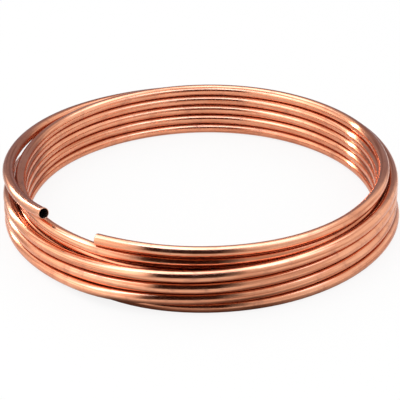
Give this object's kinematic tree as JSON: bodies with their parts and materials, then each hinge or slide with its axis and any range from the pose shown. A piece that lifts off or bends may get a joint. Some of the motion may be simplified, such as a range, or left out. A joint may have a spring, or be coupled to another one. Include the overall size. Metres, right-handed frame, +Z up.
{
  "type": "copper tube coil",
  "caption": "Bare soft copper tube wound in close-packed layers round an open eye, lying flat, with open cut ends; unrolled and cut to length for water, gas and refrigerant lines.",
  "frame": {"origin": "centre of the coil's underside, on the floor that it lies on", "axes": "+Z up along the coil's axis; +Y to the back, away from the cut ends' side; +X to the right of the cut ends seen from the front"},
  "size_m": [0.3484, 0.3485, 0.0631],
  "materials": {
    "copper": null
  },
  "bodies": {
    "root": {"copper_tube_coil": "copper"}
  },
  "joints": []
}
